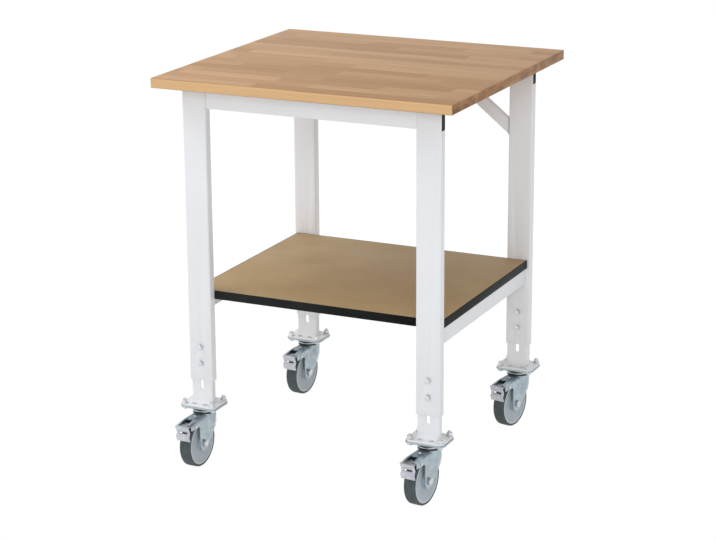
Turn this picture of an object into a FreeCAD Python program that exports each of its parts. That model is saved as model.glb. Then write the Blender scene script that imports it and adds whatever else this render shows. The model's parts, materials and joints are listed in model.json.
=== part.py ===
import FreeCAD
import Part
import math
import os

# Mobile work table: wooden worktop, steel frame with telescoping legs, shelf and four braked castors.
# Millimetres, +Z up, +X to the right and +Y to the back as seen by someone standing in front.
# The origin is on the floor, under the middle of the whole table's box.

# Worktop
worktop_width = 800.0
worktop_depth = 750.0
worktop_thickness = 25.0
worktop_bevel = 1.5

# Heights, stacked from the floor up to the worktop
castor_height = 155.0
foot_plate_thickness = 5.0
leg_extension = 60.0
outer_leg_length = 765.0

# Outer legs, rectangular tube
leg_width = 65.0
leg_depth = 25.0
leg_wall = 2.5
leg_corner = 4.0
leg_side_inset = 52.5
leg_end_inset = 60.5
slide_clearance = 0.5

# Inner legs, channel open at the back, with a long clamp slot in front
inner_leg_length = 385.0
inner_leg_wall = 2.5
inner_leg_corner = 3.0
channel_opening = 36.0
slot_above_plate = 37.0
slot_length = 330.0

# Foot plate welded under each inner leg
foot_plate_width = 100.0
foot_plate_depth = 80.0
foot_plate_corner = 16.0
foot_slot_length = 15.0
foot_slot_width = 13.0
foot_slot_spread = 31.0
foot_slot_setback = 23.0

# Metric bolts and nuts
bolt_diameter = 8.0
bolt_clearance = 0.5
thread_clearance = 0.05
hex_flats = 13.0
hex_height = 5.4
nut_height = 6.5
flange_diameter = 17.0
flange_thickness = 1.6
thread_end = 2.0
plate_thread_end = 4.0
clamp_bolt_height = 47.0
clamp_bolt_spacing = 43.0

# Top rails, rectangular tube set into the leg tops
rail_height = 55.0
rail_wall = 2.0
rail_corner = 3.0
plug_flange = 2.0
plug_depth = 12.0
plug_clearance = 0.2

# Wood screws, driven from inside the rails
screw_diameter = 5.0
screw_head_diameter = 10.0
screw_head_height = 3.0
screw_clearance = 0.25
access_hole_diameter = 13.0
worktop_screw_reach = 18.0
shelf_screw_reach = 15.0
worktop_screw_shares = (-0.36, -0.12, 0.12, 0.36)
shelf_screw_shares = (-0.38, 0.0, 0.38)

# Braces of the back frame
brace_width = 32.0
brace_depth = 16.0
brace_wall = 2.0
brace_corner = 2.5
brace_angle = 38.5
brace_drop = 119.0
brace_pad = 2.0

# Shelf
shelf_top_above_floor = 457.0
shelf_thickness = 22.0
shelf_side_inset = 60.0
shelf_leg_gap = 0.5
edge_band = 2.0
shelf_rail_height = 40.0
shelf_rail_width = 20.0

# Castor plate and swivel head
castor_plate_width = 105.0
castor_plate_depth = 85.0
castor_plate_thickness = 4.0
castor_plate_corner = 18.0
castor_holes_across = 80.0
castor_holes_along = 60.0
cup_diameter = 58.0
cup_height = 4.0
race_diameter = 62.0
race_height = 12.5
king_pin_diameter = 12.0
king_rivet_diameter = 20.0
king_rivet_height = 4.0
swivel_gap = 0.3
running_clearance = 0.05

# Fork, side outline measured from the king pin towards the trailing end
castor_trail = 40.0
fork_wall = 3.0
fork_rounding = 10.0
fork_back_reach = 24.0
fork_waist_height = 100.0
fork_boss_radius = 20.0
fork_notch_rounding = 6.0
neck_diameter = 60.0
neck_bulge_height = 106.0
neck_foot_height = 78.0
hood_flat_reach = 68.0
hood_reach = 101.0
hood_tip_height = 130.5
hood_skirt_height = 114.0
hood_window_reach = 72.0
hood_window_width = 22.0

# Wheel
wheel_diameter = 125.0
wheel_width = 32.0
tread_thickness = 5.5
tread_shoulder = 4.0
groove_width = 1.6
groove_depth = 1.0
groove_spread = 12.0
bond_clearance = 0.05
rim_thickness = 7.0
rim_edge_inset = 1.0
web_thickness = 24.0
web_draft = 2.0
hub_diameter = 28.0
hub_length = 38.4
axle_diameter = 10.0
axle_hex_flats = 17.0
axle_head_height = 6.0
axle_nut_height = 7.0

# Brake pedal, outline measured like the fork's
pedal_width = 38.0
pedal_arm_width = 19.0
pedal_pin_reach = 80.0
pedal_pin_height = 120.0
pedal_pin_diameter = 6.0
pedal_pin_head_diameter = 9.0
pedal_pin_head_height = 1.5
pedal_hub_radius = 5.5
pedal_plate = 3.0
pedal_lip_reach = 104.5
pedal_ridge_reach = 113.0
pedal_ridge_height = 126.0
pedal_valley_reach = 104.5
pedal_valley_height = 109.0
pedal_lobe_reach = 109.5
pedal_lobe_height = 98.0
pedal_toe_reach = 104.5
pedal_toe_height = 86.0
pedal_slot_width = 24.0
pedal_slot_height = 5.0

# How far each castor is turned from pointing straight to the front, in degrees
castor_turn = {"front_left": 2.0, "front_right": 6.0, "back_left": 4.0, "back_right": 10.0}

# Overrun of every cutting shape
overrun = 5.0

# Derived heights
foot_plate_bottom = castor_height
foot_plate_top = foot_plate_bottom + foot_plate_thickness
leg_bottom = foot_plate_top + leg_extension
leg_top = leg_bottom + outer_leg_length
worktop_top = leg_top + worktop_thickness
rail_bottom = leg_top - rail_height
shelf_bottom = shelf_top_above_floor - shelf_thickness
shelf_rail_bottom = shelf_bottom - shelf_rail_height
castor_plate_bottom = castor_height - castor_plate_thickness
cup_bottom = castor_plate_bottom - cup_height
crown_top = cup_bottom - race_height
crown_bottom = crown_top - fork_wall

# Derived places
leg_x = worktop_width / 2 - leg_side_inset - leg_width / 2
leg_y = worktop_depth / 2 - leg_end_inset - leg_depth / 2
leg_inner_face = leg_x - leg_width / 2
leg_outer_face = leg_x + leg_width / 2
leg_inside_depth = leg_depth - 2 * leg_wall
shelf_span = 2 * leg_y - leg_depth
corners = {
    "front_left": (-leg_x, -leg_y),
    "front_right": (leg_x, -leg_y),
    "back_left": (-leg_x, leg_y),
    "back_right": (leg_x, leg_y),
}
sides = {"left": -1, "right": 1}
ends = {"front": -1, "back": 1}

# Derived sizes
inner_leg_width = leg_width - 2 * leg_wall - 2 * slide_clearance
inner_leg_depth = leg_inside_depth - 2 * slide_clearance
rail_depth = leg_inside_depth - 2 * slide_clearance
rail_length = 2 * (leg_outer_face - plug_flange)
bolt_hole_radius = bolt_diameter / 2 + bolt_clearance
clamp_heights = (leg_bottom + clamp_bolt_height, leg_bottom + clamp_bolt_height + clamp_bolt_spacing)
shelf_half_width = worktop_width / 2 - shelf_side_inset
wheel_radius = wheel_diameter / 2
core_radius = wheel_radius - tread_thickness
fork_half_gap = hub_length / 2 + swivel_gap
fork_half_width = fork_half_gap + fork_wall

axis_x = FreeCAD.Vector(1, 0, 0)
axis_y = FreeCAD.Vector(0, 1, 0)
axis_z = FreeCAD.Vector(0, 0, 1)


def block(low, high):
    """Box between two corners."""
    size = FreeCAD.Vector(*high) - FreeCAD.Vector(*low)
    return Part.makeBox(size.x, size.y, size.z, FreeCAD.Vector(*low))


def rod(diameter, start, direction, length):
    """Cylinder from a point along a direction."""
    return Part.makeCylinder(diameter / 2, length, FreeCAD.Vector(*start), direction)


def hexagon(flats, start, direction, length):
    """Hexagonal prism from a point along +X, +Y, -Y, +Z or -Z."""
    across = axis_z if abs(direction.z) < abs(direction.x) + abs(direction.y) else axis_x
    other = direction.cross(across)
    radius = flats / math.sqrt(3)
    points = []
    for step in range(6):
        turn = math.radians(60 * step)
        offset = across * (radius * math.cos(turn)) + other * (radius * math.sin(turn))
        points.append(FreeCAD.Vector(*start) + offset)
    face = Part.Face(Part.makePolygon(points + points[:1]))
    return face.extrude(direction * length)


def rounded_plate(width, depth, radius, bottom, thickness):
    """Plate with round corners, centred on the Z axis."""
    plate = block((-width / 2, -depth / 2, bottom), (width / 2, depth / 2, bottom + thickness))
    upright = [edge for edge in plate.Edges if abs(edge.tangentAt(edge.FirstParameter).z) > 1 - 1e-6]
    return plate.makeFillet(radius, upright)


def rectangular_tube(width, depth, wall, radius, bottom, length):
    """Upright rectangular tube, centred on the Z axis, with rounded corners."""
    outside = rounded_plate(width, depth, radius, bottom, length)
    bore = block(
        (wall - width / 2, wall - depth / 2, bottom - overrun),
        (width / 2 - wall, depth / 2 - wall, bottom + length + overrun),
    )
    return outside.cut(bore)


def oblong(length, width, bottom, height):
    """Upright prism with round ends, long in X, centred on the Z axis."""
    reach = (length - width) / 2
    body = block((-reach, -width / 2, bottom), (reach, width / 2, bottom + height))
    for side in sides.values():
        body = body.fuse(rod(width, (side * reach, 0, bottom), axis_z, height))
    return body.removeSplitter()


def moved(shape, x, y, z):
    """Copy of a shape at another place."""
    copy = shape.copy()
    copy.translate(FreeCAD.Vector(x, y, z))
    return copy


def laid_along(tube, direction):
    """Turn an upright tube so that it runs along X or Y, keeping its middle at the origin."""
    copy = tube.copy()
    if direction == "x":
        copy.rotate(FreeCAD.Vector(), axis_x, 90)
        copy.rotate(FreeCAD.Vector(), axis_z, 90)
    else:
        copy.rotate(FreeCAD.Vector(), axis_x, 90)
    return copy


def profile(points, half_width):
    """Plate of a side outline given as (reach, height), spread evenly to both sides in X."""
    corners_of_outline = [FreeCAD.Vector(-half_width, -reach, height) for reach, height in points]
    wire = Part.makePolygon(corners_of_outline + corners_of_outline[:1])
    return Part.Face(wire).extrude(axis_x * (2 * half_width))


def turned(points, reach, height):
    """Round body about a line along X at the given reach and height, from (radius, offset) points."""
    outline = [FreeCAD.Vector(offset, -reach, height + radius) for radius, offset in points]
    face = Part.Face(Part.makePolygon(outline + outline[:1]))
    return face.revolve(FreeCAD.Vector(0, -reach, height), axis_x, 360)


# Worktop and its screws
def worktop_screw_places():
    length = rail_length
    return [(share * length, end * leg_y) for share in worktop_screw_shares for end in ends.values()]


def make_worktop():
    board = block(
        (-worktop_width / 2, -worktop_depth / 2, leg_top),
        (worktop_width / 2, worktop_depth / 2, worktop_top),
    )
    board = board.makeChamfer(worktop_bevel, board.Edges)
    for x, y in worktop_screw_places():
        pilot = rod(screw_diameter + 2 * thread_clearance, (x, y, leg_top - overrun), axis_z,
                    worktop_screw_reach + overrun)
        board = board.cut(pilot)
    return board


def wood_screw(x, y, seat, wall, reach):
    """Screw with its head under the rail's upper wall and its shank going up into the board."""
    head = rod(screw_head_diameter, (x, y, seat - wall - screw_head_height), axis_z, screw_head_height)
    shank = rod(screw_diameter, (x, y, seat - wall), axis_z, wall + reach)
    return head.fuse(shank)


def rail_screw_holes(rail, places, seat, wall, bottom):
    """Screw holes in a rail's upper wall and access holes in its lower wall."""
    for x, y in places:
        hole = rod(screw_diameter + 2 * screw_clearance, (x, y, seat - wall - overrun), axis_z,
                   wall + 2 * overrun)
        access = rod(access_hole_diameter, (x, y, bottom - overrun), axis_z, wall + 2 * overrun)
        rail = rail.cut(hole).cut(access)
    return rail


# Frame
def make_outer_leg(x, y):
    leg = rectangular_tube(leg_width, leg_depth, leg_wall, leg_corner, leg_bottom, outer_leg_length)
    notch = block(
        (-leg_width / 2 - overrun, -rail_depth / 2 - slide_clearance, rail_bottom),
        (leg_width / 2 + overrun, rail_depth / 2 + slide_clearance, leg_top + overrun),
    )
    leg = leg.cut(notch)
    for height in clamp_heights:
        leg = leg.cut(rod(2 * bolt_hole_radius, (0, -leg_depth / 2 - overrun, height), axis_y,
                          leg_depth + 2 * overrun))
    return moved(leg, x, y, 0)


def make_top_rail(end):
    tube = rectangular_tube(rail_depth, rail_height, rail_wall, rail_corner, -rail_length / 2, rail_length)
    rail = moved(laid_along(tube, "x"), 0, end * leg_y, rail_bottom + rail_height / 2)
    places = [(x, y) for x, y in worktop_screw_places() if y * end > 0]
    return rail_screw_holes(rail, places, leg_top, rail_wall, rail_bottom)


def make_end_plugs():
    middle = rail_bottom + rail_height / 2
    flange = rounded_plate(rail_depth, rail_height, rail_corner, 0, plug_flange)
    inside_width = rail_depth - 2 * rail_wall - 2 * plug_clearance
    inside_height = rail_height - 2 * rail_wall - 2 * plug_clearance
    tongue = rounded_plate(inside_width, inside_height, plug_flange, -plug_depth, plug_depth)
    plug = flange.fuse(tongue)
    plugs = []
    for side in sides.values():
        for end in ends.values():
            one = laid_along(plug, "x")
            if side < 0:
                one.rotate(FreeCAD.Vector(), axis_z, 180)
            plugs.append(moved(one, side * (leg_outer_face - plug_flange), end * leg_y, middle))
    return Part.makeCompound(plugs)


def brace_between(low, high, rise, width, depth, wall, radius):
    """Slanted tube between two heights, its middle line passing leg_inner_face at the brace's low end."""
    length = 2 * (high - low) / math.sin(math.radians(rise))
    tube = rectangular_tube(width, depth, wall, radius, -length / 2, length)
    tube.rotate(FreeCAD.Vector(), axis_y, rise - 90)
    return tube


def make_brace(side):
    low = rail_bottom - brace_drop
    tube = brace_between(low, rail_bottom, brace_angle, brace_width, brace_depth, brace_wall, brace_corner)
    tube = moved(tube, leg_inner_face, leg_y, low)
    reach = leg_inner_face - brace_pad
    keep = block((0, leg_y - leg_depth, leg_bottom), (reach, leg_y + leg_depth, rail_bottom))
    tube = tube.common(keep)
    if side < 0:
        tube = tube.mirror(FreeCAD.Vector(), axis_x)
    return tube


def make_brace_pads():
    """Black pads that close the braces' lower ends against the legs."""
    middle = rail_bottom - brace_drop + brace_pad / 2 * math.tan(math.radians(brace_angle))
    height = brace_width / math.cos(math.radians(brace_angle))
    pads = []
    for side in sides.values():
        inner, outer = sorted((side * (leg_inner_face - brace_pad), side * leg_inner_face))
        pads.append(block(
            (inner, leg_y - brace_depth / 2, middle - height / 2),
            (outer, leg_y + brace_depth / 2, middle + height / 2),
        ))
    return Part.makeCompound(pads)


def make_clamp_bolts():
    bolts = []
    for x, y in corners.values():
        front = y - leg_depth / 2
        for height in clamp_heights:
            shank_length = leg_depth + nut_height + flange_thickness + thread_end
            shank = rod(bolt_diameter, (x, front, height), axis_y, shank_length)
            flange = rod(flange_diameter, (x, front - flange_thickness, height), axis_y, flange_thickness)
            head = hexagon(hex_flats, (x, front - flange_thickness, height), -axis_y, hex_height)
            bolts.append(shank.fuse([flange, head]))
    return Part.makeCompound(bolts)


def make_clamp_nuts():
    nuts = []
    for x, y in corners.values():
        back = y + leg_depth / 2
        for height in clamp_heights:
            flange = rod(flange_diameter, (x, back, height), axis_y, flange_thickness)
            body = hexagon(hex_flats, (x, back + flange_thickness, height), axis_y, nut_height)
            bore = rod(bolt_diameter + 2 * thread_clearance, (x, back - overrun, height), axis_y,
                       flange_thickness + nut_height + 2 * overrun)
            nuts.append(flange.fuse(body).cut(bore))
    return Part.makeCompound(nuts)


# Shelf
def shelf_rail_x():
    return shelf_half_width - shelf_rail_width / 2


def shelf_screw_places():
    along = [share * shelf_span for share in shelf_screw_shares]
    return [(side * shelf_rail_x(), y) for side in sides.values() for y in along]


def make_shelf_rail(side):
    tube = rectangular_tube(shelf_rail_width, shelf_rail_height, rail_wall, rail_corner, -shelf_span / 2,
                            shelf_span)
    rail = moved(laid_along(tube, "y"), side * shelf_rail_x(), 0, shelf_rail_bottom + shelf_rail_height / 2)
    places = [(x, y) for x, y in shelf_screw_places() if x * side > 0]
    return rail_screw_holes(rail, places, shelf_bottom, rail_wall, shelf_rail_bottom)


def make_shelf_board():
    half_depth = shelf_span / 2 - shelf_leg_gap - edge_band
    half_width = shelf_half_width - edge_band
    board = block((-half_width, -half_depth, shelf_bottom), (half_width, half_depth, shelf_top_above_floor))
    for x, y in shelf_screw_places():
        pilot = rod(screw_diameter + 2 * thread_clearance, (x, y, shelf_bottom - overrun), axis_z,
                    shelf_screw_reach + overrun)
        board = board.cut(pilot)
    return board


def make_edge_band():
    half_depth = shelf_span / 2 - shelf_leg_gap
    strips = []
    for side in sides.values():
        inner, outer = sorted((side * (shelf_half_width - edge_band), side * shelf_half_width))
        strips.append(block((inner, -half_depth, shelf_bottom), (outer, half_depth, shelf_top_above_floor)))
        near, far = sorted((side * (half_depth - edge_band), side * half_depth))
        width = shelf_half_width - edge_band
        strips.append(block((-width, near, shelf_bottom), (width, far, shelf_top_above_floor)))
    return Part.makeCompound(strips)


def make_screws(places, seat, reach):
    return Part.makeCompound([wood_screw(x, y, seat, rail_wall, reach) for x, y in places])


# Inner leg, about its own middle line
def plate_hole_places():
    across = castor_holes_across / 2
    along = castor_holes_along / 2
    return [(side * across, end * along) for side in sides.values() for end in ends.values()]


def make_inner_leg():
    leg = rectangular_tube(inner_leg_width, inner_leg_depth, inner_leg_wall, inner_leg_corner, foot_plate_top,
                           inner_leg_length)
    slot = oblong(slot_length, 2 * bolt_hole_radius, 0, leg_depth)
    slot.rotate(FreeCAD.Vector(), axis_x, 90)
    slot.rotate(FreeCAD.Vector(), axis_y, 90)
    leg = leg.cut(moved(slot, 0, 0, foot_plate_top + slot_above_plate + slot_length / 2))
    leg = leg.cut(block((-channel_opening / 2, 0, foot_plate_top),
                        (channel_opening / 2, leg_depth, foot_plate_top + inner_leg_length + overrun)))
    plate = rounded_plate(foot_plate_width, foot_plate_depth, foot_plate_corner, foot_plate_bottom,
                          foot_plate_thickness)
    for x, y in plate_hole_places():
        plate = plate.cut(rod(2 * bolt_hole_radius, (x, y, foot_plate_bottom - overrun), axis_z,
                              foot_plate_thickness + 2 * overrun))
    foot_slot = oblong(foot_slot_length, foot_slot_width, foot_plate_bottom - overrun,
                       foot_plate_thickness + 2 * overrun)
    for side in sides.values():
        for end in ends.values():
            plate = plate.cut(moved(foot_slot, side * foot_slot_spread / 2, end * foot_slot_setback, 0))
    return leg.fuse(plate).removeSplitter()


# Castor, with its king pin on the Z axis and its trailing end towards -Y
def make_castor_plate():
    plate = rounded_plate(castor_plate_width, castor_plate_depth, castor_plate_corner, castor_plate_bottom,
                          castor_plate_thickness)
    for x, y in plate_hole_places():
        plate = plate.cut(rod(2 * bolt_hole_radius, (x, y, castor_plate_bottom - overrun), axis_z,
                              castor_plate_thickness + 2 * overrun))
    cup = rod(cup_diameter, (0, 0, cup_bottom), axis_z, cup_height)
    rivet_top = crown_bottom - swivel_gap
    pin = rod(king_pin_diameter, (0, 0, rivet_top), axis_z, cup_bottom - rivet_top)
    rivet = rod(king_rivet_diameter, (0, 0, rivet_top - king_rivet_height), axis_z, king_rivet_height)
    return plate.fuse([cup, pin, rivet]).removeSplitter()


def make_castor_bolts():
    """Bolts put in from below, with flanged nuts on the foot plate."""
    pieces = []
    for x, y in plate_hole_places():
        nut_top = foot_plate_top + flange_thickness + nut_height
        shank = rod(bolt_diameter, (x, y, castor_plate_bottom), axis_z,
                    nut_top + plate_thread_end - castor_plate_bottom)
        head = hexagon(hex_flats, (x, y, castor_plate_bottom), -axis_z, hex_height)
        flange = rod(flange_diameter, (x, y, foot_plate_top), axis_z, flange_thickness)
        nut = hexagon(hex_flats, (x, y, foot_plate_top + flange_thickness), axis_z, nut_height)
        bore = rod(bolt_diameter + 2 * thread_clearance, (x, y, castor_plate_bottom), axis_z,
                   nut_top + overrun - castor_plate_bottom)
        pieces.append(shank.fuse(head))
        pieces.append(flange.fuse(nut).cut(bore))
    return Part.makeCompound(pieces)


def make_swivel_race():
    ring = rod(race_diameter, (0, 0, crown_top), axis_z, race_height - swivel_gap)
    bore = rod(king_pin_diameter + 2 * running_clearance, (0, 0, crown_top - overrun), axis_z,
               race_height + 2 * overrun)
    return ring.cut(bore)


def boss_place(angle):
    """Reach and height of a point on the round boss at the axle."""
    reach = castor_trail + fork_boss_radius * math.cos(angle)
    height = wheel_radius + fork_boss_radius * math.sin(angle)
    return reach, height


def boss_touch():
    """Angle at which the fork's slanted back edge meets the round boss."""
    rise = fork_waist_height - wheel_radius
    run = -fork_back_reach - castor_trail
    return math.atan2(rise, run) + math.acos(fork_boss_radius / math.hypot(rise, run))


def hood_height(reach, inset):
    """Height of the hood's curved top, or of a surface inset from it, at a reach past its flat part."""
    length = hood_reach - hood_flat_reach
    drop = crown_top - hood_tip_height
    radius = (length ** 2 + drop ** 2) / (2 * drop)
    return crown_top - radius + math.sqrt((radius - inset) ** 2 - (reach - hood_flat_reach) ** 2)


def fork_shell(inset):
    """Fork as a full body with rounded top and back. An inset one runs on past the front and to the floor."""
    half = fork_half_width - inset
    top = crown_top - inset
    back = fork_back_reach - inset
    front = hood_reach if inset == 0 else hood_reach + overrun
    tip = hood_height(front, inset)

    def spot(reach, height):
        return FreeCAD.Vector(-half, -reach, height)

    def on_boss(angle):
        return spot(*boss_place(angle))

    flat_end = spot(hood_flat_reach, top)
    bend = (hood_flat_reach + front) / 2
    edges = [Part.Arc(flat_end, spot(bend, hood_height(bend, inset)), spot(front, tip)).toShape()]
    if inset == 0:
        touch = boss_touch()
        notch = castor_trail + fork_boss_radius
        bend_reach = notch + fork_notch_rounding
        bend_height = hood_skirt_height - fork_notch_rounding
        slack = fork_notch_rounding * math.sqrt(0.5)
        notch_start = spot(bend_reach, hood_skirt_height)
        notch_end = spot(notch, bend_height)
        notch_middle = spot(bend_reach - slack, bend_height + slack)
        edges.append(Part.Arc(notch_start, notch_middle, notch_end).toShape())
        edges.append(Part.Arc(on_boss(0), on_boss((touch - 2 * math.pi) / 2), on_boss(touch)).toShape())
        lines = [
            [spot(front, tip), spot(front, hood_skirt_height), notch_start],
            [notch_end, on_boss(0)],
            [on_boss(touch), spot(-back, fork_waist_height), spot(-back, top), flat_end],
        ]
    else:
        lines = [[spot(front, tip), spot(front, 0), spot(-back, 0), spot(-back, top), flat_end]]
    for line in lines:
        edges += [Part.LineSegment(a, b).toShape() for a, b in zip(line, line[1:])]
    outline = Part.Wire(Part.__sortEdges__(edges))
    body = Part.Face(outline).extrude(axis_x * (2 * half))
    rounded = []
    for edge in body.Edges:
        places = [vertex.Point for vertex in edge.Vertexes]
        across = abs(places[0].x - places[-1].x) > running_clearance
        at_back = all(abs(place.y - back) < running_clearance for place in places)
        at_top = all(place.z > tip - running_clearance for place in places)
        if (at_back and at_top) or (not across and (at_back or at_top)):
            rounded.append(edge)
    return body.makeFillet(fork_rounding - inset, rounded)


def fork_neck(inset):
    """Round bulge under the swivel race that runs out in the blades, or its inside."""
    foot = fork_half_width - inset
    radius = neck_diameter / 2 - inset
    drum = rod(2 * radius, (0, 0, neck_bulge_height), axis_z, crown_top - inset - neck_bulge_height)
    skirt = Part.makeCone(foot, radius, neck_bulge_height - neck_foot_height,
                          FreeCAD.Vector(0, 0, neck_foot_height), axis_z)
    return drum.fuse(skirt)


def below_back_edge():
    """Room behind and below the fork's slanted back edge, as far out as the bulge reaches."""
    low_reach, low_height = boss_place(boss_touch())
    slope = (fork_waist_height - low_height) / (fork_back_reach + low_reach)
    far = neck_diameter / 2 + overrun
    high = fork_waist_height + slope * (far - fork_back_reach)
    return profile([(low_reach, low_height), (low_reach, 0), (-far, 0), (-far, high)], far)


def make_fork():
    """Pressed hood and two blades: closed at the back, open in front, with a window over the pedal."""
    body = fork_shell(0).fuse(fork_neck(0).cut(below_back_edge()))
    body = body.cut([fork_shell(fork_wall), fork_neck(fork_wall)])
    window = block((-hood_window_width / 2, -hood_reach - overrun, hood_skirt_height),
                   (hood_window_width / 2, -hood_window_reach, crown_top + overrun))
    pin_hole = rod(king_pin_diameter + 2 * running_clearance, (0, 0, crown_bottom - overrun), axis_z,
                   fork_wall + 2 * overrun)
    axle_hole = rod(axle_diameter + 2 * running_clearance,
                    (-fork_half_width - overrun, -castor_trail, wheel_radius), axis_x,
                    2 * fork_half_width + 2 * overrun)
    pedal_hole = rod(pedal_pin_diameter + 2 * running_clearance,
                     (-fork_half_width - overrun, -pedal_pin_reach, pedal_pin_height), axis_x,
                     2 * fork_half_width + 2 * overrun)
    return body.cut([window, pin_hole, axle_hole, pedal_hole]).removeSplitter()


def make_axle_bolt():
    start = (-fork_half_width - axle_nut_height - thread_end, -castor_trail, wheel_radius)
    length = 2 * fork_half_width + axle_nut_height + thread_end
    shank = rod(axle_diameter, start, axis_x, length)
    head = hexagon(axle_hex_flats, (fork_half_width, -castor_trail, wheel_radius), axis_x, axle_head_height)
    nut = hexagon(axle_hex_flats, (-fork_half_width - axle_nut_height, -castor_trail, wheel_radius), axis_x,
                  axle_nut_height)
    bore = rod(axle_diameter + 2 * thread_clearance, start, axis_x, axle_nut_height + thread_end + overrun)
    return Part.makeCompound([shank.fuse(head), nut.cut(bore)])


def make_wheel_core():
    bore = axle_diameter / 2 + running_clearance
    hub = hub_diameter / 2
    rim = core_radius - rim_thickness
    half = [
        (bore, hub_length / 2),
        (hub, hub_length / 2),
        (hub + web_draft, web_thickness / 2),
        (rim - web_draft, web_thickness / 2),
        (rim, wheel_width / 2 - rim_edge_inset),
        (core_radius, wheel_width / 2 - rim_edge_inset),
    ]
    outline = half + [(radius, -offset) for radius, offset in reversed(half)]
    return turned(outline, castor_trail, wheel_radius)


def make_wheel_tread():
    bore = core_radius + bond_clearance
    half = [
        (bore, wheel_width / 2),
        (wheel_radius - tread_shoulder, wheel_width / 2),
        (wheel_radius, wheel_width / 2 - tread_shoulder),
    ]
    outline = half + [(radius, -offset) for radius, offset in reversed(half)]
    tread = turned(outline, castor_trail, wheel_radius)
    floor_of_groove = wheel_radius - groove_depth
    for side in sides.values():
        middle = side * groove_spread / 2
        groove = turned([
            (floor_of_groove, middle - groove_width / 2),
            (floor_of_groove, middle + groove_width / 2),
            (wheel_radius + overrun, middle + groove_width / 2),
            (wheel_radius + overrun, middle - groove_width / 2),
        ], castor_trail, wheel_radius)
        tread = tread.cut(groove)
    return tread


def make_brake_pin():
    head_start = fork_half_width + pedal_pin_head_height
    pin = rod(pedal_pin_diameter, (-head_start, -pedal_pin_reach, pedal_pin_height), axis_x, 2 * head_start)
    for side in (-head_start, fork_half_width):
        pin = pin.fuse(rod(pedal_pin_head_diameter, (side, -pedal_pin_reach, pedal_pin_height), axis_x,
                           pedal_pin_head_height))
    return pin.removeSplitter()


def make_brake_pedal():
    """Two-lobed rocker: narrow arm from the pin, then a lip, ridge, valley and lower lobe down to the toe."""
    plate = pedal_plate / 2
    half = pedal_width / 2
    front = [
        (pedal_lip_reach, pedal_ridge_height + plate),
        (pedal_ridge_reach + plate, pedal_ridge_height + plate),
        (pedal_valley_reach + plate, pedal_valley_height),
        (pedal_lobe_reach + plate, pedal_lobe_height),
        (pedal_toe_reach + plate, pedal_toe_height),
    ]
    back = [
        (pedal_toe_reach - plate, pedal_toe_height),
        (pedal_lobe_reach - plate, pedal_lobe_height),
        (pedal_valley_reach - plate, pedal_valley_height),
        (pedal_ridge_reach - pedal_plate, pedal_ridge_height - plate),
        (pedal_lip_reach, pedal_ridge_height - plate),
    ]
    arm = profile([
        (pedal_pin_reach, pedal_pin_height + pedal_hub_radius),
        (pedal_lip_reach, pedal_ridge_height + plate),
        (pedal_lip_reach + pedal_plate, pedal_ridge_height - plate),
        (pedal_lip_reach, pedal_ridge_height - pedal_hub_radius),
        (pedal_pin_reach, pedal_pin_height - pedal_hub_radius),
    ], pedal_arm_width / 2)
    hub = rod(2 * pedal_hub_radius, (-half, -pedal_pin_reach, pedal_pin_height), axis_x, pedal_width)
    pedal = profile(front + back, half).fuse([arm, hub])
    bore = rod(pedal_pin_diameter + 2 * running_clearance,
               (-half - overrun, -pedal_pin_reach, pedal_pin_height), axis_x, pedal_width + 2 * overrun)
    slot = block(
        (-pedal_slot_width / 2, -pedal_ridge_reach - overrun, pedal_valley_height - pedal_slot_height / 2),
        (pedal_slot_width / 2, overrun - pedal_valley_reach, pedal_valley_height + pedal_slot_height / 2),
    )
    return pedal.cut([bore, slot]).removeSplitter()


def castor_pieces():
    """Pieces of one castor and its inner leg, about the leg's middle line. True marks those that turn."""
    return {
        "inner_leg": (make_inner_leg(), False),
        "castor_plate": (make_castor_plate(), False),
        "castor_bolts": (make_castor_bolts(), False),
        "swivel_race": (make_swivel_race(), True),
        "fork": (make_fork(), True),
        "axle_bolt": (make_axle_bolt(), True),
        "wheel_core": (make_wheel_core(), True),
        "wheel_tread": (make_wheel_tread(), True),
        "brake_pin": (make_brake_pin(), True),
        "brake_pedal": (make_brake_pedal(), True),
    }


def all_pieces():
    pieces = {"worktop": make_worktop()}
    for corner, (x, y) in corners.items():
        pieces["outer_leg_" + corner] = make_outer_leg(x, y)
    for name, end in ends.items():
        pieces["top_rail_" + name] = make_top_rail(end)
    for name, side in sides.items():
        pieces["back_brace_" + name] = make_brace(side)
        pieces["shelf_rail_" + name] = make_shelf_rail(side)
    pieces["rail_end_plugs"] = make_end_plugs()
    pieces["brace_pads"] = make_brace_pads()
    pieces["clamp_bolts"] = make_clamp_bolts()
    pieces["clamp_nuts"] = make_clamp_nuts()
    pieces["shelf_board"] = make_shelf_board()
    pieces["shelf_edge_band"] = make_edge_band()
    pieces["worktop_screws"] = make_screws(worktop_screw_places(), leg_top, worktop_screw_reach)
    pieces["shelf_screws"] = make_screws(shelf_screw_places(), shelf_bottom, shelf_screw_reach)
    for name, (shape, turns) in castor_pieces().items():
        for corner, (x, y) in corners.items():
            copy = shape.copy()
            if turns:
                copy.rotate(FreeCAD.Vector(), axis_z, -castor_turn[corner])
            pieces[name + "_" + corner] = moved(copy, x, y, 0)
    return pieces


def box_middle(pieces):
    """Middle of the whole table's box, seen from above."""
    whole = Part.makeCompound(list(pieces.values())).optimalBoundingBox(False, False)
    return whole.Center.x, whole.Center.y


def main():
    os.makedirs("parts", exist_ok=True)
    pieces = all_pieces()
    middle_x, middle_y = box_middle(pieces)
    for name, shape in pieces.items():
        placed = moved(shape, -middle_x, -middle_y, 0)
        placed.exportStep(os.path.join("parts", name + ".step"))
        print(name, len(placed.Solids), placed.isValid(), round(placed.Volume))
    return middle_x, middle_y


table_middle = main()
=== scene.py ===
import json
import math

import bmesh
import bpy
from mathutils import Matrix, Vector


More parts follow.
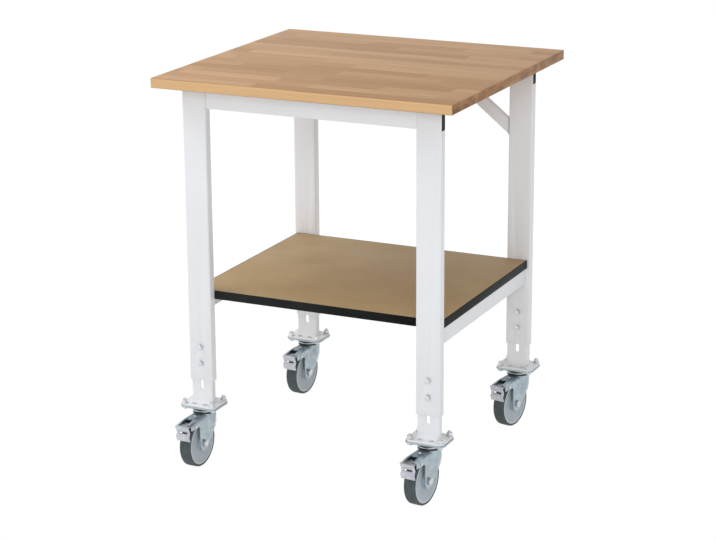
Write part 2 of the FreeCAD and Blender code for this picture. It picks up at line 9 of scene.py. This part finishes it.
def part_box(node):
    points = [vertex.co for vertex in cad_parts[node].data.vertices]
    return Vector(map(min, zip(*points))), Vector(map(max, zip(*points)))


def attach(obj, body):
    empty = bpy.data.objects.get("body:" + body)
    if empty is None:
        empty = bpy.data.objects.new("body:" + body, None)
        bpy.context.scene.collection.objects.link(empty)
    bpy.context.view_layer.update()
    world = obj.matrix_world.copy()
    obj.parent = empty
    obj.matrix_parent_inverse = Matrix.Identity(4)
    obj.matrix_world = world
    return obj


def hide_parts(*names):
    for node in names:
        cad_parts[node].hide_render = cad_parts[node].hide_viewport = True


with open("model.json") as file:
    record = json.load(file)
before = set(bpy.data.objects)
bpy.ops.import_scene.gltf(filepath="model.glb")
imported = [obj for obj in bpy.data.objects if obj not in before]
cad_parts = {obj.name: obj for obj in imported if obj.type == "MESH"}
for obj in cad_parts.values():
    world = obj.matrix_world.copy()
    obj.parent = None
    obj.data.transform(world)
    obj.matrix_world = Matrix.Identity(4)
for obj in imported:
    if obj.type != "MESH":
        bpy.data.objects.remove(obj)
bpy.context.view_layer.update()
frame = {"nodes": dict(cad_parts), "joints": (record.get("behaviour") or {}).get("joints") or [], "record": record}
cadNodes = frame["nodes"]
bodyOf = {node: body for body, members in frame["record"]["behaviour"]["bodies"].items() for node in members}
slotOf = {entry["node"]: entry["material_slot"] for entry in frame["record"]["subparts"]}
jointOf = {joint["name"]: joint for joint in frame["joints"]}
corners = ("front_left", "front_right", "back_left", "back_right")
print("frame loaded:", len(cadNodes), "nodes")


# shader helpers
def addNode(tree, kind, **settings):
    made = tree.nodes.new("ShaderNode" + kind)
    for name, value in settings.items():
        setattr(made, name, value)
    return made


def setInputs(made, **values):
    for name, value in values.items():
        made.inputs[name].default_value = value
    return made


def mathNode(tree, operation, first, second=None):
    made = addNode(tree, "Math", operation=operation)
    for socket, value in zip(made.inputs, (first, second)):
        if isinstance(value, (int, float)):
            socket.default_value = value
        elif value is not None:
            tree.links.new(value, socket)
    return made.outputs[0]


def mixColour(tree, factor, first, second, blend="MIX"):
    made = addNode(tree, "Mix", data_type="RGBA", blend_type=blend)
    for name, value in (("Factor_Float", factor), ("A_Color", first), ("B_Color", second)):
        socket = next(s for s in made.inputs if s.identifier == name)
        if isinstance(value, (int, float, tuple)):
            socket.default_value = value
        else:
            tree.links.new(value, socket)
    return next(s for s in made.outputs if s.identifier == "Result_Color")


# black below the span, white above it
def ramp(tree, value, span):
    made = addNode(tree, "ValToRGB")
    for element, place, level in zip(made.color_ramp.elements, span, (0, 1)):
        element.position = place
        element.color = (level, level, level, 1)
    tree.links.new(value, made.inputs["Fac"])
    return made.outputs["Color"]


def noise(tree, vector, detail, scale=1.0, roughness=0.55, stretch=(1, 1, 1)):
    mapping = addNode(tree, "Mapping")
    mapping.inputs["Scale"].default_value = stretch
    tree.links.new(vector, mapping.inputs["Vector"])
    made = addNode(tree, "TexNoise")
    setInputs(made, Scale=scale, Detail=detail, Roughness=roughness)
    tree.links.new(mapping.outputs["Vector"], made.inputs["Vector"])
    return made


def startMaterial(name):
    material = bpy.data.materials.new(name)
    material.use_nodes = True
    tree = material.node_tree
    tree.nodes.clear()
    shader = addNode(tree, "BsdfPrincipled")
    output = addNode(tree, "OutputMaterial")
    tree.links.new(shader.outputs["BSDF"], output.inputs["Surface"])
    return material, tree, shader


def bumpInto(tree, shader, height, distance):
    bump = addNode(tree, "Bump")
    setInputs(bump, Strength=1.0, Distance=distance)
    tree.links.new(height, bump.inputs["Height"])
    tree.links.new(bump.outputs["Normal"], shader.inputs["Normal"])


def uneven(tree, value, spread, level):
    return mathNode(tree, "ADD", mathNode(tree, "MULTIPLY", value, spread), level)


# cloudy colour change, uneven gloss and fine relief, shared by most finishes
mottleLook = {"cloudDetail": 5.0, "cloudSpan": (0.35, 0.68), "grainDetail": 3.0, "grainMiddle": 0.5}


def buildMottle():
    tree = bpy.data.node_groups.new("surfaceMottle", "ShaderNodeTree")
    sockets = (("Base", "Color"), ("Shade", "Color"), ("Cloud Scale", "Float"), ("Cloud Amount", "Float"),
               ("Grain Scale", "Float"), ("Gloss Level", "Float"), ("Gloss Spread", "Float"))
    for name, kind in sockets:
        tree.interface.new_socket(name=name, in_out="INPUT", socket_type="NodeSocket" + kind)
    for name, kind in (("Color", "Color"), ("Roughness", "Float"), ("Height", "Float")):
        tree.interface.new_socket(name=name, in_out="OUTPUT", socket_type="NodeSocket" + kind)
    source = tree.nodes.new("NodeGroupInput")
    result = tree.nodes.new("NodeGroupOutput")
    place = addNode(tree, "TexCoord").outputs["Object"]
    cloud = noise(tree, place, mottleLook["cloudDetail"])
    grain = noise(tree, place, mottleLook["grainDetail"])
    tree.links.new(source.outputs["Cloud Scale"], cloud.inputs["Scale"])
    tree.links.new(source.outputs["Grain Scale"], grain.inputs["Scale"])
    cover = ramp(tree, cloud.outputs["Fac"], mottleLook["cloudSpan"])
    amount = mathNode(tree, "MULTIPLY", cover, source.outputs["Cloud Amount"])
    colour = mixColour(tree, amount, source.outputs["Base"], source.outputs["Shade"])
    shift = mathNode(tree, "SUBTRACT", grain.outputs["Fac"], mottleLook["grainMiddle"])
    gloss = uneven(tree, shift, source.outputs["Gloss Spread"], source.outputs["Gloss Level"])
    tree.links.new(colour, result.inputs["Color"])
    tree.links.new(gloss, result.inputs["Roughness"])
    tree.links.new(grain.outputs["Fac"], result.inputs["Height"])
    return tree


mottle = buildMottle()


def mottledMaterial(name, base, shade, cloud, amount, grain, gloss, spread, relief, metallic=0.0, shine=0.5):
    material, tree, shader = startMaterial(name)
    group = addNode(tree, "Group", node_tree=mottle)
    for socket, value in zip(group.inputs, ((*base, 1), (*shade, 1), cloud, amount, grain, gloss, spread)):
        socket.default_value = value
    tree.links.new(group.outputs["Color"], shader.inputs["Base Color"])
    tree.links.new(group.outputs["Roughness"], shader.inputs["Roughness"])
    shader.inputs["Metallic"].default_value = metallic
    shader.inputs["Specular IOR Level"].default_value = shine
    bumpInto(tree, shader, group.outputs["Height"], relief)
    return material


finishes = {
    "white_paint": dict(base=(0.848, 0.862, 0.886), shade=(0.815, 0.83, 0.856), cloud=6, amount=0.5,
                        grain=900, gloss=0.38, spread=0.12, relief=0.00012),
    "black_plastic": dict(base=(0.016, 0.018, 0.018), shade=(0.026, 0.028, 0.028), cloud=25, amount=0.7,
                          grain=1400, gloss=0.6, spread=0.2, relief=0.0001, shine=0.08),
    "zinc_fasteners": dict(base=(0.58, 0.59, 0.61), shade=(0.44, 0.45, 0.47), cloud=120, amount=0.7,
                           grain=900, gloss=0.30, spread=0.2, relief=0.00006, metallic=0.9),
    "zinc_sheet": dict(base=(0.41, 0.48, 0.52), shade=(0.28, 0.35, 0.39), cloud=55, amount=0.85,
                       grain=700, gloss=0.24, spread=0.2, relief=0.00006, metallic=0.7),
    "black_seal": dict(base=(0.015, 0.015, 0.016), shade=(0.03, 0.03, 0.03), cloud=60, amount=0.6,
                       grain=1200, gloss=0.6, spread=0.2, relief=0.00008),
    "wheel_plastic": dict(base=(0.46, 0.53, 0.58), shade=(0.40, 0.465, 0.515), cloud=40, amount=0.7,
                          grain=900, gloss=0.42, spread=0.15, relief=0.00008),
    "tread_rubber": dict(base=(0.052, 0.068, 0.072), shade=(0.080, 0.098, 0.102), cloud=45, amount=0.7,
                         grain=1100, gloss=0.68, spread=0.2, relief=0.0002),
    "pedal_steel": dict(base=(0.51, 0.52, 0.565), shade=(0.37, 0.38, 0.43), cloud=70, amount=0.8,
                        grain=800, gloss=0.38, spread=0.22, relief=0.00006, metallic=0.75),
    "rim_band": dict(base=(0.64, 0.68, 0.72), shade=(0.56, 0.60, 0.64), cloud=50, amount=0.6,
                     grain=900, gloss=0.4, spread=0.15, relief=0.00006),
}

# glued beech staves along X: one tint for each stave, finger-shaped ends, streaks, pores,
# dark blotches on the end grain, and long front and back faces painted paler and yellower: partly paler edge wood,
# partly painted light for the light on the front edge
beech = {
    "light": (0.570, 0.350, 0.190), "dark": (0.380, 0.208, 0.096), "joint": (0.30, 0.165, 0.080),
    "staveLength": 0.34, "staveWidth": 0.044, "tintBias": -0.22, "jointWidth": 0.0004, "jointBlur": 0.6,
    "staveRows": dict(offset=0.37, offset_frequency=2, squash=0.8, squash_frequency=3),
    "fingerPitch": 0.0045, "fingerReach": 1.4,
    "streakNoise": dict(detail=7.0, stretch=(2.4, 95, 95)), "streakSpan": (0.36, 0.66),
    "streak": (0.33, 0.185, 0.095), "streakShare": 0.38,
    "poreNoise": dict(detail=2.0, stretch=(55, 1500, 1500)), "poreSpan": (0.60, 0.70),
    "pore": (0.22, 0.12, 0.06), "poreShare": 0.25,
    "endNoise": dict(detail=6.0, roughness=0.6, stretch=(20, 18, 45)), "endSpan": (0.34, 0.66),
    "end": (1.0, 0.90, 0.80), "endDark": (0.42, 0.35, 0.29),
    # edge colours: the long faces' paler edge wood with painted light for the lit front edge laid into it
    "edge": (0.81, 0.52, 0.26), "edgeStreak": (0.66, 0.40, 0.21), "edgeStreakShare": 0.45, "edgeShare": 0.84,
    "sideways": 0.8, "gloss": 0.46, "glossSpread": 0.18, "shine": 0.2, "relief": 0.00015,
}


def beechStaves(tree, parts):
    finger = mathNode(tree, "PINGPONG", parts.outputs["Y"], beech["fingerPitch"])
    slid = mathNode(tree, "MULTIPLY", finger, beech["fingerReach"])
    along = mathNode(tree, "ADD", parts.outputs["X"], slid)
    flat = addNode(tree, "CombineXYZ")
    tree.links.new(along, flat.inputs["X"])
    tree.links.new(parts.outputs["Y"], flat.inputs["Y"])
    staves = addNode(tree, "TexBrick", **beech["staveRows"])
    setInputs(staves, Color1=(*beech["light"], 1), Color2=(*beech["dark"], 1), Mortar=(*beech["joint"], 1))
    setInputs(staves, Scale=1.0, Bias=beech["tintBias"])
    for socket, value in (("Mortar Size", "jointWidth"), ("Mortar Smooth", "jointBlur"),
                          ("Brick Width", "staveLength"), ("Row Height", "staveWidth")):
        staves.inputs[socket].default_value = beech[value]
    tree.links.new(flat.outputs["Vector"], staves.inputs["Vector"])
    return staves.outputs["Color"]


def facingMask(tree, along):
    return mathNode(tree, "GREATER_THAN", mathNode(tree, "ABSOLUTE", along), beech["sideways"])


def beechMaterial():
    material, tree, shader = startMaterial("beechBoard")
    coords = addNode(tree, "TexCoord")
    place = coords.outputs["Object"]
    parts = addNode(tree, "SeparateXYZ")
    tree.links.new(place, parts.inputs["Vector"])
    facing = addNode(tree, "SeparateXYZ")
    tree.links.new(coords.outputs["Normal"], facing.inputs["Vector"])
    streak = noise(tree, place, **beech["streakNoise"])
    pores = noise(tree, place, **beech["poreNoise"])
    blotches = noise(tree, place, **beech["endNoise"])
    streakMask = ramp(tree, streak.outputs["Fac"], beech["streakSpan"])
    poreMask = ramp(tree, pores.outputs["Fac"], beech["poreSpan"])
    endMask = ramp(tree, blotches.outputs["Fac"], beech["endSpan"])
    streaked = mathNode(tree, "MULTIPLY", streakMask, beech["streakShare"])
    colour = mixColour(tree, streaked, beechStaves(tree, parts), (*beech["streak"], 1))
    porous = mathNode(tree, "MULTIPLY", poreMask, beech["poreShare"])
    colour = mixColour(tree, porous, colour, (*beech["pore"], 1))
    endTone = mixColour(tree, endMask, (*beech["end"], 1), (*beech["endDark"], 1))
    endGrain = mixColour(tree, 1.0, colour, endTone, blend="MULTIPLY")
    colour = mixColour(tree, facingMask(tree, facing.outputs["X"]), colour, endGrain)
    # long front and back faces get a paler, yellower tone: partly the edge wood's own colour, partly painted light
    # for the light falling on the front edge
    edgeStreaked = mathNode(tree, "MULTIPLY", streakMask, beech["edgeStreakShare"])
    edgeWoodAndLight = mixColour(tree, edgeStreaked, (*beech["edge"], 1), (*beech["edgeStreak"], 1))
    edgeMask = mathNode(tree, "MULTIPLY", facingMask(tree, facing.outputs["Y"]), beech["edgeShare"])
    colour = mixColour(tree, edgeMask, colour, edgeWoodAndLight)
    tree.links.new(colour, shader.inputs["Base Color"])
    gloss = uneven(tree, streak.outputs["Fac"], beech["glossSpread"], beech["gloss"])
    tree.links.new(gloss, shader.inputs["Roughness"])
    shader.inputs["Specular IOR Level"].default_value = beech["shine"]
    bumpInto(tree, shader, pores.outputs["Fac"], beech["relief"])
    return material


# pressed fibre board of the shelf: clouds, fibres and specks
fibreBoard = {
    "cloudNoise": dict(detail=5.0, scale=9.0), "cloudSpan": (0.3, 0.7),
    "base": (0.432, 0.300, 0.150), "light": (0.490, 0.348, 0.182),
    "fibreNoise": dict(detail=6.0, scale=260.0, roughness=0.7), "fibreSpan": (0.46, 0.74),
    "fibre": (0.30, 0.195, 0.092), "fibreShare": 0.45,
    "speckNoise": dict(detail=2.0, scale=900.0), "speckSpan": (0.62, 0.72),
    "speck": (0.16, 0.105, 0.065), "speckShare": 0.3,
    "gloss": 0.5, "glossSpread": 0.2, "shine": 0.3, "relief": 0.00012,
}


def boardMaterial():
    material, tree, shader = startMaterial("fibreBoard")
    place = addNode(tree, "TexCoord").outputs["Object"]
    cloud = noise(tree, place, **fibreBoard["cloudNoise"])
    fibres = noise(tree, place, **fibreBoard["fibreNoise"])
    specks = noise(tree, place, **fibreBoard["speckNoise"])
    cloudMask = ramp(tree, cloud.outputs["Fac"], fibreBoard["cloudSpan"])
    colour = mixColour(tree, cloudMask, (*fibreBoard["base"], 1), (*fibreBoard["light"], 1))
    for source, kind in ((fibres, "fibre"), (specks, "speck")):
        mask = ramp(tree, source.outputs["Fac"], fibreBoard[kind + "Span"])
        cover = mathNode(tree, "MULTIPLY", mask, fibreBoard[kind + "Share"])
        colour = mixColour(tree, cover, colour, (*fibreBoard[kind], 1))
    tree.links.new(colour, shader.inputs["Base Color"])
    gloss = uneven(tree, fibres.outputs["Fac"], fibreBoard["glossSpread"], fibreBoard["gloss"])
    tree.links.new(gloss, shader.inputs["Roughness"])
    shader.inputs["Specular IOR Level"].default_value = fibreBoard["shine"]
    bumpInto(tree, shader, fibres.outputs["Fac"], fibreBoard["relief"])
    return material


materialOf = {}
for slot, values in finishes.items():
    materialOf[slot] = mottledMaterial(slot.title().replace("_", ""), **values)
materialOf["beech_board"] = beechMaterial()
materialOf["brown_board"] = boardMaterial()
for node, cadObject in cadNodes.items():
    for materialSlot in cadObject.material_slots:
        materialSlot.material = materialOf[slotOf[node]]
print("materials:", len(materialOf))

# piece helpers
meshWork = {"weld": 1e-6, "spinWeld": 1e-7, "smoothAngle": 32, "flatAngle": 0.4, "sharpAngle": 40,
            "bevelSegments": 2, "spinSteps": 96}


def finishPiece(bm, name, body, slot, replaced=(), merge=True, finish=None):
    if merge:
        bmesh.ops.remove_doubles(bm, verts=bm.verts, dist=meshWork["weld"])
        bmesh.ops.recalc_face_normals(bm, faces=bm.faces)
    mesh = bpy.data.meshes.new(name)
    bm.to_mesh(mesh)
    bm.free()
    for polygon in mesh.polygons:
        polygon.use_smooth = True
    mesh.set_sharp_from_angle(angle=math.radians(meshWork["smoothAngle"]))
    mesh.materials.append(materialOf[finish or slot])
    piece = bpy.data.objects.new(name, mesh)
    bpy.context.scene.collection.objects.link(piece)
    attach(piece, body)
    if replaced:
        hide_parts(*replaced)


def sharpEdges(bm):
    limit = math.radians(meshWork["sharpAngle"])
    return [edge for edge in bm.edges if edge.is_manifold and edge.calc_face_angle(0.0) > limit]


# sheet, tube, board and bolt pieces keep the construction's form, with broken edges
brokenEdges = {
    "worktop": 0.0006, "outer_leg": 0.0004, "top_rail": 0.0004, "back_brace": 0.0004, "shelf_rail": 0.0004,
    "inner_leg": 0.0004, "rail_end_plugs": 0.0005, "brace_pads": 0.0003, "shelf_board": 0.0003,
    "shelf_edge_band": 0.0004, "clamp_bolts": 0.0005, "clamp_nuts": 0.0004, "castor_plate": 0.0006,
    "castor_bolts": 0.0005, "fork": 0.0007, "axle_bolt": 0.0007, "brake_pin": 0.0005, "brake_pedal": 0.0009,
}


def brokenEdgePiece(node, width):
    bm = bmesh.new()
    bm.from_mesh(cadNodes[node].data)
    bmesh.ops.remove_doubles(bm, verts=bm.verts, dist=meshWork["weld"])
    bmesh.ops.dissolve_limit(bm, angle_limit=math.radians(meshWork["flatAngle"]), verts=bm.verts,
                             edges=bm.edges, use_dissolve_boundaries=False, delimit=set())
    bmesh.ops.bevel(bm, geom=sharpEdges(bm), offset=width, offset_type="OFFSET", profile=0.5,
                    segments=meshWork["bevelSegments"], affect="EDGES", clamp_overlap=True, material=-1)
    finishPiece(bm, node + "_dressed", bodyOf[node], slotOf[node], (node,), merge=False)


for node in cadNodes:
    for family, width in brokenEdges.items():
        if node == family or node.startswith(family + "_"):
            brokenEdgePiece(node, width)
print("sheet and tube pieces dressed")


# castors
def castorPlace(corner):
    spot = jointOf["swivel_" + corner]["pos_m"]
    axle = jointOf["roll_" + corner]["axis"]
    return Matrix.Translation((spot[0], spot[1], 0)) @ Matrix.Rotation(math.atan2(axle[1], axle[0]), 4, "Z")


def localSpot(corner, joint):
    return castorPlace(corner).inverted() @ Vector(jointOf[joint + "_" + corner]["pos_m"])


# turns an outline of (place along X, radius) round the X axis
def spunBody(outline, steps=meshWork["spinSteps"]):
    bm = bmesh.new()
    verts = [bm.verts.new((along, 0, radius)) for along, radius in outline]
    edges = [bm.edges.new(pair) for pair in zip(verts, verts[1:] + verts[:1])]
    bmesh.ops.spin(bm, geom=verts + edges, cent=(0, 0, 0), axis=(1, 0, 0), dvec=(0, 0, 0), angle=2 * math.pi,
                   steps=steps, use_merge=True, use_duplicate=False)
    bmesh.ops.remove_doubles(bm, verts=bm.verts, dist=meshWork["spinWeld"])
    bmesh.ops.recalc_face_normals(bm, faces=bm.faces)
    return bm


def mirroredOutline(half):
    return half + [(-along, radius) for along, radius in reversed(half)]


def placedWheel(bm, corner):
    bm.transform(castorPlace(corner) @ Matrix.Translation(localSpot(corner, "roll")))
    return bm


def halfHeight(low, high):
    return (high.z - low.z) / 2


standing = Matrix.Rotation(-math.pi / 2, 4, "Y")  # sets a spun body upright

# tyre with rounded shoulders and fine grooves round it
tread = {"halfWidth": 0.016, "thickness": 0.00545, "shoulder": 0.0045, "shoulderSteps": 6, "groove": 0.0011,
         "grooveFloorShare": 0.6, "grooveDepth": 0.0008, "groovesAt": (0.0085, 0.0028)}


def wheelTread(corner):
    radius = halfHeight(*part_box("wheel_tread_" + corner))
    quarter = math.pi / 2 / tread["shoulderSteps"]
    turns = [quarter * step for step in range(tread["shoulderSteps"], -1, -1)]
    outline = [(tread["halfWidth"], radius - tread["thickness"])]
    outline += [(tread["halfWidth"] - tread["shoulder"] * (1 - math.sin(turn)),
                 radius - tread["shoulder"] * (1 - math.cos(turn))) for turn in turns]
    cut = tread["groove"] / 2
    floorCut = cut * tread["grooveFloorShare"]
    floorLevel = radius - tread["grooveDepth"]
    for middle in tread["groovesAt"]:
        outline += [(middle + cut, radius), (middle + floorCut, floorLevel),
                    (middle - floorCut, floorLevel), (middle - cut, radius)]
    bm = placedWheel(spunBody(mirroredOutline(outline)), corner)
    finishPiece(bm, "wheel_tread_dressed_" + corner, "wheel_" + corner, "tread_rubber",
                ("wheel_tread_" + corner,))


# dished wheel with a paler flat band round its edge; pairs are (along the axle, along the radius)
core = {"bore": 0.00505, "hub": 0.0140, "hubEnd": 0.0192, "hubBreak": (0.0008, 0.001), "web": 0.0120,
        "hubFlare": ((0.004, 0.001), (0.001, 0.0022), (0.0, 0.0045)),
        "webRise": ((0.0, 0.006), (0.0005, 0.003)), "edge": 0.0150, "edgeBreak": (0.0008, 0.001)}
band = {"width": 0.0062, "step": 0.0006, "sunk": 0.0002, "break": 0.0003, "innerRound": 0.0004,
        "outerRound": 0.0007, "outerGap": 0.0002}


def wheelCore(corner):
    radius = halfHeight(*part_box("wheel_core_" + corner))
    web, hub, edge = core["web"], core["hub"], core["edge"] - band["step"]
    inner = radius - band["width"]
    outline = [(core["hubEnd"], core["bore"]), (core["hubEnd"], hub - core["hubBreak"][1]),
               (core["hubEnd"] - core["hubBreak"][0], hub)]
    outline += [(web + out, hub + up) for out, up in core["hubFlare"]]
    outline += [(web + out, inner - down) for out, down in core["webRise"]]
    outline += [(edge - core["edgeBreak"][0], inner - core["edgeBreak"][1]), (edge, inner), (edge, radius)]
    bm = placedWheel(spunBody(mirroredOutline(outline)), corner)
    finishPiece(bm, "wheel_core_dressed_" + corner, "wheel_" + corner, "wheel_plastic",
                ("wheel_core_" + corner,))
    back, front, outer = edge - band["sunk"], core["edge"], radius - band["outerGap"]
    outline = [(back, inner), (front - band["break"], inner), (front, inner + band["innerRound"]),
               (front, radius - band["outerRound"]), (front - band["break"], outer), (back, outer)]
    for name, side in (("left_", -1), ("right_", 1)):
        bm = placedWheel(spunBody([(side * along, level) for along, level in outline]), corner)
        finishPiece(bm, "rim_band_" + name + corner, "wheel_" + corner, "wheel_plastic", finish="rim_band")


# swivel head: black seal with a bright turned ring round its middle; above the ring the black seal reaches up
# under the plate over the cup, a dark sleeve that is painted shade for the shadow under the plate
race = {"ringLow": 0.0054, "ringHigh": 0.0084, "sealInset": 0.0018, "bore": 0.0072, "lip": 0.0005}


def swivelHead(corner):
    low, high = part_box("swivel_race_" + corner)
    place = Matrix.Translation(((low.x + high.x) / 2, (low.y + high.y) / 2, 0)) @ standing
    lip, radius = race["lip"], (high.x - low.x) / 2
    sealRadius = radius - race["sealInset"]
    ringLow, ringHigh = low.z + race["ringLow"], low.z + race["ringHigh"]
    # the seal below the ring is the black dust seal; its part above the ring, up to the plate, is painted shade
    # under the plate
    seal = [(low.z, race["bore"]), (low.z, sealRadius - lip), (low.z + lip, sealRadius),
            (high.z - lip, sealRadius), (high.z, sealRadius - lip), (high.z, race["bore"])]
    ring = [(ringLow, sealRadius - lip), (ringLow, radius - lip), (ringLow + lip, radius),
            (ringHigh - lip, radius), (ringHigh, radius - lip), (ringHigh, sealRadius - lip)]
    for name, outline, slot, replaced in (("swivel_seal_and_shade_", seal, "black_seal", ("swivel_race_" + corner,)),
                                          ("swivel_ring_", ring, "zinc_fasteners", ())):
        bm = spunBody(outline)
        bm.transform(place)
        finishPiece(bm, name + corner, "fork_" + corner, slot, replaced)


# domed rivet on the hood, between the swivel head and the window
rivet = {"reach": 0.047, "radius": 0.0036, "rise": 0.0024, "sunk": 0.0004, "domeSteps": 5, "spinSteps": 32}


def hoodRivet(corner):
    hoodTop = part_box("swivel_race_" + corner)[0].z
    forward = math.copysign(rivet["reach"], localSpot(corner, "roll").y)
    turns = [math.pi / 2 * step / rivet["domeSteps"] for step in range(rivet["domeSteps"] + 1)]
    outline = [(-rivet["sunk"], 0.0), (-rivet["sunk"], rivet["radius"])]
    outline += [(rivet["rise"] * math.sin(turn), rivet["radius"] * math.cos(turn)) for turn in turns]
    bm = spunBody(outline, rivet["spinSteps"])
    bm.transform(castorPlace(corner) @ Matrix.Translation((0, forward, hoodTop)) @ standing)
    finishPiece(bm, "hood_rivet_" + corner, "fork_" + corner, "zinc_fasteners")


for corner in corners:
    hoodRivet(corner)
    wheelTread(corner)
    wheelCore(corner)
    swivelHead(corner)
print("wheels and swivel heads made")

# painted weld seams round the feet, at the braces' upper ends and at the shelf rails
weld = {"radius": 0.0021, "sides": 10, "legWidth": 0.059, "legDepth": 0.019, "lip": 0.0115, "plate": 0.005,
        "braceFoot": 0.0514}


def weldBead(bm, start, end):
    start, end = Vector(start), Vector(end)
    run = end - start
    made = bmesh.ops.create_cone(bm, cap_ends=True, segments=weld["sides"], radius1=weld["radius"],
                                 radius2=weld["radius"], depth=run.length)
    place = Matrix.Translation((start + end) / 2) @ run.to_track_quat("Z", "Y").to_matrix().to_4x4()
    bmesh.ops.transform(bm, matrix=place, verts=made["verts"])


def footWeld(corner):
    low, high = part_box("inner_leg_" + corner)
    x, y, top = (low.x + high.x) / 2, (low.y + high.y) / 2, low.z + weld["plate"]
    left, right = x - weld["legWidth"] / 2, x + weld["legWidth"] / 2
    front, back = y - weld["legDepth"] / 2, y + weld["legDepth"] / 2
    bm = bmesh.new()
    weldBead(bm, (left, front, top), (right, front, top))
    for side, inwards in ((left, 1), (right, -1)):
        weldBead(bm, (side, front, top), (side, back, top))
        weldBead(bm, (side, back, top), (side + inwards * weld["lip"], back, top))
    finishPiece(bm, "foot_weld_" + corner, "foot_" + corner, "white_paint", merge=False)


def frameWelds():
    bm = bmesh.new()
    for side in ("left", "right"):
        low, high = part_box("back_brace_" + side)
        ends = (high.x - weld["braceFoot"], high.x)
        if side == "right":
            ends = (low.x, low.x + weld["braceFoot"])
        for y in (low.y, high.y):
            weldBead(bm, (ends[0], y, high.z), (ends[1], y, high.z))
        low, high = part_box("shelf_rail_" + side)
        for x in (low.x, high.x):
            for y in (low.y, high.y):
                weldBead(bm, (x, y, low.z + weld["radius"]), (x, y, high.z - weld["radius"]))
    finishPiece(bm, "frame_welds", "table", "white_paint", merge=False)


for corner in corners:
    footWeld(corner)
frameWelds()
print("weld seams made")

# studio: pale floor, soft lamps and the photograph's camera
studio = {"ambient": 0.60, "floor": (0.86, 0.86, 0.86), "floorGlow": 0.60, "floorClear": 0.85,
          "floorSize": 14.0}


def whiteRay(tree):
    path = addNode(tree, "LightPath")
    seen = mathNode(tree, "MAXIMUM", path.outputs["Is Camera Ray"], path.outputs["Is Glossy Ray"])
    return mathNode(tree, "MAXIMUM", seen, path.outputs["Is Transmission Ray"])


def makeWorld():
    world = bpy.data.worlds.new("studioWorld")
    world.use_nodes = True
    tree = world.node_tree
    background = tree.nodes["Background"]
    background.inputs["Color"].default_value = (1, 1, 1, 1)
    strength = uneven(tree, whiteRay(tree), 1 - studio["ambient"], studio["ambient"])
    tree.links.new(strength, background.inputs["Strength"])
    bpy.context.scene.world = world


def floorMaterial():
    material = bpy.data.materials.new("paleFloor")
    material.use_nodes = True
    tree = material.node_tree
    tree.nodes.clear()
    matt = setInputs(addNode(tree, "BsdfDiffuse"), Color=(*studio["floor"], 1))
    glow = addNode(tree, "Emission")
    tree.links.new(mathNode(tree, "MULTIPLY", whiteRay(tree), studio["floorGlow"]), glow.inputs["Strength"])
    both = addNode(tree, "AddShader")
    tree.links.new(matt.outputs[0], both.inputs[0])
    tree.links.new(glow.outputs[0], both.inputs[1])
    # mostly clear, so that feet drawn out below the floor still show
    view = addNode(tree, "LightPath").outputs["Is Camera Ray"]
    clear = addNode(tree, "MixShader")
    tree.links.new(mathNode(tree, "MULTIPLY", view, studio["floorClear"]), clear.inputs["Fac"])
    tree.links.new(both.outputs[0], clear.inputs[1])
    tree.links.new(addNode(tree, "BsdfTransparent").outputs[0], clear.inputs[2])
    tree.links.new(clear.outputs[0], addNode(tree, "OutputMaterial").inputs["Surface"])
    return material


def makeFloor():
    bm = bmesh.new()
    bmesh.ops.create_grid(bm, x_segments=1, y_segments=1, size=studio["floorSize"])
    mesh = bpy.data.meshes.new("studioFloor")
    bm.to_mesh(mesh)
    bm.free()
    mesh.materials.append(floorMaterial())
    floor = bpy.data.objects.new("studioFloor", mesh)
    bpy.context.scene.collection.objects.link(floor)


lamps = {
    "keyLamp": dict(place=(1.9, -4.4, 2.3), aim=(0, 0, 0.5), size=1.8, power=50, tint=(0.96, 0.98, 1.0)),
    "lowLamp": dict(place=(-2.4, -3.8, 0.8), aim=(0, 0, 0.5), size=1.8, power=10),
    "topLamp": dict(place=(-1.6, -0.55, 2.9), aim=(0, 0, 0.9), size=1.6, power=28),
    "sideLamp": dict(place=(3.4, -0.2, 0.7), aim=(0, 0, 0.2), size=0.9, power=4),
}


def makeLamp(name, place, aim, size, power, tint=(1, 1, 1)):
    data = bpy.data.lights.new(name, "AREA")
    data.size = size
    data.energy = power
    data.color = tint
    lamp = bpy.data.objects.new(name, data)
    lamp.location = place
    lamp.rotation_euler = (Vector(aim) - Vector(place)).to_track_quat("-Z", "Y").to_euler()
    bpy.context.scene.collection.objects.link(lamp)


# camera, measured from the worktop's front left upper corner; focal length and width in pixels
lens = {"offset": (2.6372, -4.4092, 1.0172), "yaw": 25.243, "pitch": 16.454, "roll": -0.359, "focal": 2124.8,
        "width": 716}


def makeCamera():
    low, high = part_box("worktop")
    yaw, pitch, roll = (math.radians(lens[name]) for name in ("yaw", "pitch", "roll"))
    ahead = Vector((-math.sin(yaw) * math.cos(pitch), math.cos(yaw) * math.cos(pitch), -math.sin(pitch)))
    right = Vector((math.cos(yaw), math.sin(yaw), 0))
    up = right.cross(ahead)
    turned = math.cos(roll) * right + math.sin(roll) * up
    raised = math.cos(roll) * up - math.sin(roll) * right
    data = bpy.data.cameras.new("photoCamera")
    data.sensor_fit = "HORIZONTAL"
    data.lens = lens["focal"] / lens["width"] * data.sensor_width
    camera = bpy.data.objects.new("photoCamera", data)
    place = Vector((low.x, low.y, high.z)) + Vector(lens["offset"])
    camera.matrix_world = Matrix.Translation(place) @ Matrix((turned, raised, -ahead)).transposed().to_4x4()
    bpy.context.scene.collection.objects.link(camera)
    bpy.context.scene.camera = camera


makeWorld()
makeFloor()
for name, values in lamps.items():
    makeLamp(name, **values)
makeCamera()
bpy.context.scene.view_settings.view_transform = "Standard"
print("studio set")
